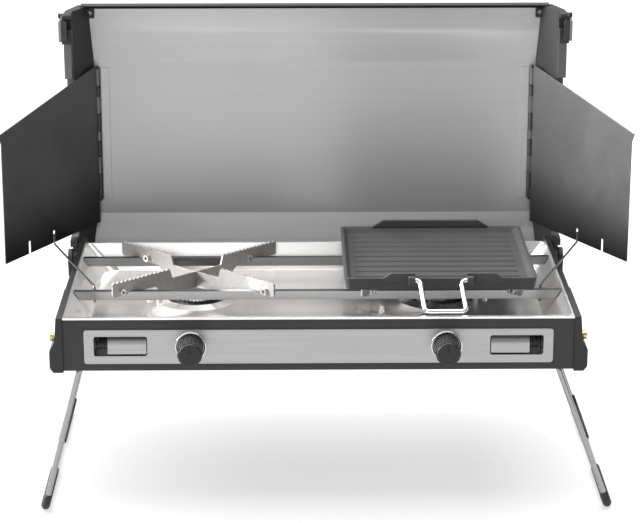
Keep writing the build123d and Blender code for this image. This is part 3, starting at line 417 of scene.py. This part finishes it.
# %% A geometry tree with named sizes
def new_tree(name, sizes):
    """A geometry tree with named inputs: the tree, and its inputs as a dictionary of flows."""
    tree = bpy.data.node_groups.new(name, "GeometryNodeTree")
    face = tree.interface
    face.new_socket("Geometry", in_out="INPUT", socket_type="NodeSocketGeometry")
    for size, value in sizes.items():
        kind = "NodeSocketVector" if isinstance(value, tuple) else "NodeSocketFloat"
        face.new_socket(size, in_out="INPUT", socket_type=kind).default_value = value
    face.new_socket("Finish", in_out="INPUT", socket_type="NodeSocketMaterial")
    face.new_socket("Geometry", in_out="OUTPUT", socket_type="NodeSocketGeometry")
    source = tree.nodes.new("NodeGroupInput")
    return tree, {socket.name: Flow(tree, socket) for socket in source.outputs if socket.name}


def end_tree(tree, geometry, material):
    """Close a tree: real meshes in place of instances, and the finish."""
    real = geometry.add("GeometryNodeRealizeInstances", {}, {"Geometry": geometry})
    dressed = real.add("GeometryNodeSetMaterial", {}, {"Geometry": real, "Material": material})
    tree.links.new(dressed.socket, tree.nodes.new("NodeGroupOutput").inputs[0])
    print(tree.name, "tree has", len(tree.nodes), "nodes")


def round_corners(inputs):
    """The route that comes in, with an arc of the bend radius at each corner."""
    route = inputs["Geometry"]
    arcs = {"Curve": route, "Count": 14, "Radius": inputs["Bend radius"], "Limit Radius": True}
    return route.add("GeometryNodeFilletCurve", {"mode": "POLY"}, arcs)


def sweep(path, radius, points, **more):
    """A tube of this radius along a path, with so many points round it."""
    section = path.add("GeometryNodeCurvePrimitiveCircle", {}, {"Resolution": points, "Radius": radius})
    tube = {"Curve": path, "Profile Curve": section, "Fill Caps": True, **more}
    return path.add("GeometryNodeCurveToMesh", {}, tube)


# %% From a tree to a piece
def grow(name, source, tree, sizes, body, replaced):
    """Run a tree on a source object and keep the result as a plain mesh that rides on a body."""
    scene.collection.objects.link(source)
    modifier = source.modifiers.new("grow", "NODES")
    modifier.node_group = tree
    keys = {item.name: item.identifier for item in tree.interface.items_tree if item.in_out == "INPUT"}
    for size, value in sizes.items():
        modifier[keys[size]] = value
    bpy.context.view_layer.update()
    ready = source.evaluated_get(bpy.context.evaluated_depsgraph_get())
    mesh = bpy.data.meshes.new_from_object(ready)
    mesh.name = name
    source.modifiers.remove(modifier)
    bpy.data.objects.remove(source)
    piece = bpy.data.objects.new(name, mesh)
    scene.collection.objects.link(piece)
    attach(piece, body)
    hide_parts(replaced)
    print(name, "has", len(mesh.polygons), "faces")


def route_object(name, *routes):
    """A curve object with one straight-cornered run for each route of points, in millimetres."""
    curve = bpy.data.curves.new(name, "CURVE")
    curve.dimensions = "3D"
    for points in routes:
        run = curve.splines.new("POLY")
        run.points.add(len(points) - 1)
        for point, corner in zip(run.points, points):
            point.co = (*(Vector(corner) * mm), 1.0)
    return bpy.data.objects.new(name, curve)


# %% The bent wire tree
wire_tree, wire_in = new_tree("bent_wire", {"Wire radius": 2.5 * mm, "Bend radius": 9 * mm})
end_tree(wire_tree, sweep(round_corners(wire_in), wire_in["Wire radius"], 20), wire_in["Finish"])


def bent_wire(name, points, radius, bend, finish, body, replaced):
    """A wire along a route of corners, all in millimetres."""
    values = {"Wire radius": radius * mm, "Bend radius": bend * mm, "Finish": finishes[finish]}
    grow(name, route_object(name, points), wire_tree, values, body, replaced)


# %% Legs
front_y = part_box("base_housing")[0].y / mm
foot_z = 3.6
leg_pivot_x = 209.5
leg_pivot_z = 141.0
leg_front = 5.0
leg_rear = 253.0
pivot_run = 23.0
leg_radius = 2.5
leg_bend = 9.0


def back(distance):
    """Y of a point this far behind the base's front face, in millimetres."""
    return front_y + distance


foot_reach = {}
for name, side in sides.items():
    frame_node = f"leg_frame_{name}"
    low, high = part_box(frame_node)
    foot_reach[name] = max(-low.x, high.x) / mm - leg_radius
    top_x = side * leg_pivot_x
    foot_x = side * foot_reach[name]
    corners = [
        (top_x, back(leg_front + pivot_run), leg_pivot_z),
        (top_x, back(leg_front), leg_pivot_z),
        (foot_x, back(leg_front), foot_z),
        (foot_x, back(leg_rear), foot_z),
        (top_x, back(leg_rear), leg_pivot_z),
        (top_x, back(leg_rear - pivot_run), leg_pivot_z),
    ]
    leg = f"leg_{name}"
    # The legs take the darker chrome, a painted reflection of dark surroundings.
    bent_wire(f"leg_wire_{name}", corners, leg_radius, leg_bend, "leg_chrome", leg, frame_node)

# %% The griddle's handle
handle_low, handle_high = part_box("griddle_handle")
handle_radius = 2.2
handle_bend = 4.0
handle_eye = 9.5
handle_skew = 4.0
left_end, right_end = handle_low.x / mm, handle_high.x / mm
left_arm, right_arm = left_end + handle_eye, right_end - handle_eye
hinge_y = handle_high.y / mm - handle_radius
hinge_z = handle_high.z / mm - handle_radius
bar_y = handle_low.y / mm + handle_radius
bar_z = handle_low.z / mm + handle_radius
corners = [
    (left_end, hinge_y, hinge_z),
    (left_arm, hinge_y, hinge_z),
    (left_arm + handle_skew, bar_y, bar_z),
    (right_arm + handle_skew, bar_y, bar_z),
    (right_arm, hinge_y, hinge_z),
    (right_end, hinge_y, hinge_z),
]
bent_wire(
    "handle_wire", corners, handle_radius, handle_bend, "chrome", "griddle_bail", "griddle_handle"
)

# %% The stays
stay_radius = 1.0
stay_bend = 2.5
hook_height = 10.0
for name, side in sides.items():
    stay = f"stay_{name}"
    low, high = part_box(stay)
    inner, outer = sorted((low.x / mm, high.x / mm), key=abs)
    foot = (inner + side * stay_radius, low.y / mm + stay_radius)
    hook = (outer - side * stay_radius, high.y / mm - stay_radius)
    run_z = high.z / mm - hook_height
    corners = [(*foot, low.z / mm), (*foot, run_z), (*hook, run_z), (*hook, high.z / mm)]
    bent_wire(f"stay_wire_{name}", corners, stay_radius, stay_bend, "stay_wire", stay, stay)

# %% [markdown]
# ## Rubber sleeves
# Each leg's lower corners carry a soft sleeve with rounded ends, flat where it stands. The same route idea
# serves, but the radius changes along the way, so the tree resamples the curve, shrinks it near both ends by
# the rule of a circle, and lifts every point that falls below the ground.

# %% The sleeve tree
sleeve_sizes = {"Sleeve radius": 4 * mm, "Bend radius": 9 * mm, "End round": 3 * mm}
end_radius = 0.72
sleeve_tree, sleeve_in = new_tree("sleeve", sleeve_sizes)
bends = round_corners(sleeve_in)
even = bends.add("GeometryNodeResampleCurve", {"mode": "LENGTH"}, {"Curve": bends, "Length": 0.6 * mm})
along = even.add("GeometryNodeSplineParameter", out="Length")
whole = even.add("GeometryNodeSplineLength", out="Length")
from_end = along.calc("MINIMUM", along, whole - along) / sleeve_in["End round"]
short = 1 - from_end.calc("MINIMUM", from_end, 1.0)
shrink = end_radius + (1 - end_radius) * (1 - short * short) ** 0.5
tube = sweep(even, sleeve_in["Sleeve radius"], 24, Scale=shrink)
x, y, z = tube.add("GeometryNodeInputPosition").axes()
raised = tube.add("ShaderNodeCombineXYZ", {}, {0: x, 1: y, 2: z.calc("MAXIMUM", z, 0.0)})
stood = tube.add("GeometryNodeSetPosition", {}, {"Geometry": tube, "Position": raised})
end_tree(sleeve_tree, stood, sleeve_in["Finish"])

# %% Sleeves
sleeve_rise = 13.0
front_sleeve = 92.0
rear_sleeve = 84.0
sleeve_runs = ((leg_front, leg_front + front_sleeve), (leg_rear, leg_rear - rear_sleeve))
for name, side in sides.items():
    foot_x = foot_reach[name]
    lean = sleeve_rise * (foot_x - leg_pivot_x) / (leg_pivot_z - foot_z)
    routes = []
    for corner, end in sleeve_runs:
        above = (side * (foot_x - lean), back(corner), foot_z + sleeve_rise)
        routes.append([above, (side * foot_x, back(corner), foot_z), (side * foot_x, back(end), foot_z)])
    source = route_object(f"sleeve_routes_{name}", *routes)
    values = {"Finish": finishes["rubber"]}
    grow(f"foot_sleeves_{name}", source, sleeve_tree, values, f"leg_{name}", f"leg_sleeves_{name}")

# %% [markdown]
# ## Igniter springs
# A black coil at the outer end of each flap pulls it shut. The Spiral node draws the coil: its height is the
# pitch times the turns. It winds round Z, so the tree turns it on to the shaft, which runs along X.

# %% The coil tree
coil_wire = 0.7 * mm
coil_sizes = {
    "Coil radius": 5 * mm,
    "Wire radius": coil_wire,
    "Coil length": 7.8 * mm,
    "Start": (0.0, 0.0, 0.0),
    "Turn": (0.0, 0.0, 0.0),
}
coil_tree, coil_in = new_tree("coil", coil_sizes)
winding = {
    "Resolution": 40,
    "Rotations": 4.5,
    "Start Radius": coil_in["Coil radius"],
    "End Radius": coil_in["Coil radius"],
    "Height": coil_in["Coil length"],
}
spiral = coil_in["Geometry"].add("GeometryNodeCurveSpiral", {}, winding)
setting = {"Geometry": spiral, "Translation": coil_in["Start"], "Rotation": coil_in["Turn"]}
placed = spiral.add("GeometryNodeTransform", {}, setting)
end_tree(coil_tree, sweep(placed, coil_in["Wire radius"], 10), coil_in["Finish"])

# %% Coils
for name, side in sides.items():
    spring = f"igniter_spring_{name}"
    low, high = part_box(spring)
    inner = low.x if side > 0 else high.x
    axis = (low + high) / 2
    values = {
        "Start": (inner + side * coil_wire, axis.y, axis.z),
        "Turn": (0.0, side * math.pi / 2, 0.0),
        "Finish": finishes["spring_steel"],
    }
    blank = bpy.data.objects.new("coil_source", bpy.data.meshes.new("coil_source"))
    grow(f"igniter_coil_{name}", blank, coil_tree, values, "base", spring)

# %% [markdown]
# ## Rings round the knobs
# A chrome ring lies on the fascia round each knob, and its rounded edge catches the overhead light. A small
# circle swept round a larger one has that edge. Instance on Points sets the same ring at both knobs.

# %% The ring tree
ring_tree, ring_in = new_tree("knob_ring", {"Ring radius": 12.9 * mm, "Wire radius": 1.0 * mm})
circle = {"Resolution": 72, "Radius": ring_in["Ring radius"]}
hoop = ring_in["Geometry"].add("GeometryNodeCurvePrimitiveCircle", {}, circle)
ring = sweep(hoop, ring_in["Wire radius"], 14)
upright = (math.pi / 2, 0.0, 0.0)
setting = {"Points": ring_in["Geometry"], "Instance": ring, "Rotation": upright}
end_tree(ring_tree, ring.add("GeometryNodeInstanceOnPoints", {}, setting), ring_in["Finish"])

# %% Rings
ring_inset = 1.4 * mm
ring_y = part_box("knob_bezels")[0].y + ring_inset
ring_points = []
for name in sides:
    low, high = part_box(f"knob_{name}")
    middle = (low + high) / 2
    ring_points.append((middle.x, ring_y, middle.z))
ring_mesh = bpy.data.meshes.new("ring_points")
ring_mesh.from_pydata(ring_points, [], [])
ring_source = bpy.data.objects.new("ring_points", ring_mesh)
values = {"Finish": finishes["chrome"]}
grow("knob_rings", ring_source, ring_tree, values, "base", "knob_bezels")

# %% [markdown]
# ## The studio
# The stove stands on a plain pale sheet under soft light. The sheet glows a little, as paper on a light table
# does, so the shadow under the base stays faint. One wide box overhead fills the pan, two weak ones at the
# front reach the liner and what the pan mirrors of it, and one on the left models the supports and the right
# windshield. That last box is flagged off the floor and the pan, where it would only leave hot spots.

# %% Floor
reach = 14.0
floor_drop = 0.3 * mm
paper_glow = 0.62
paper_surface, paper_place = start_finish("studio_paper")
fibres = speckle(paper_place, 3 * mm)
feed(paper_surface, Base_Color=fibres.mix(grey(0.40), grey(0.42)), Roughness=0.9)
feed(paper_surface, Emission_Color=grey(1.0), Emission_Strength=paper_glow)
floor_mesh = bpy.data.meshes.new("studio_floor")
floor_corners = [(-reach, -reach, 0), (reach, -reach, 0), (reach, reach, 0), (-reach, reach, 0)]
floor_mesh.from_pydata(floor_corners, [], [(0, 1, 2, 3)])
floor_mesh.materials.append(finishes["studio_paper"])
floor = bpy.data.objects.new("studio_floor", floor_mesh)
floor.location.z = -floor_drop
scene.collection.objects.link(floor)
print("floor:", 2 * reach, "m across")


# %% Lights
def softbox(name, place, target, size, power):
    """A rectangular area light that faces a target, its power in watts."""
    lamp = bpy.data.lights.new(name, "AREA")
    lamp.shape = "RECTANGLE"
    lamp.size, lamp.size_y = size
    lamp.energy = power
    box = bpy.data.objects.new(name, lamp)
    box.location = place
    box.rotation_euler = (Vector(target) - Vector(place)).to_track_quat("-Z", "Y").to_euler()
    scene.collection.objects.link(box)
    return box


softbox("overhead_box", (-0.8, 0.9, 2.4), (-0.8, 0.9, 0.1), (5.0, 4.0), 205)
softbox("key_box", (-1.9, -1.6, 1.7), (0, 0, 0.2), (1.4, 1.4), 6)
softbox("front_box", (-0.7, -2.3, 1.0), (0, 0, 0.2), (1.6, 0.8), 4)
left_box = softbox("left_box", (-1.6, 0.0, 0.72), (0.25, 0, 0.25), (0.7, 0.5), 80)
flagged = bpy.data.collections.new("left_box_flag")
for shaded in (floor, nodes["burner_pan"]):
    flagged.objects.link(shaded)
for entry in flagged.collection_objects:
    entry.light_linking.link_state = "EXCLUDE"
left_box.light_linking.receiver_collection = flagged

# %% The room
room_level = 0.35
world = bpy.data.worlds.new("studio")
world.use_nodes = True
room = world.node_tree.nodes["Background"]
room.inputs["Color"].default_value = (1, 1, 1, 1)
room.inputs["Strength"].default_value = room_level
scene.world = world
scene.view_settings.view_transform = "Standard"
print("studio lit")
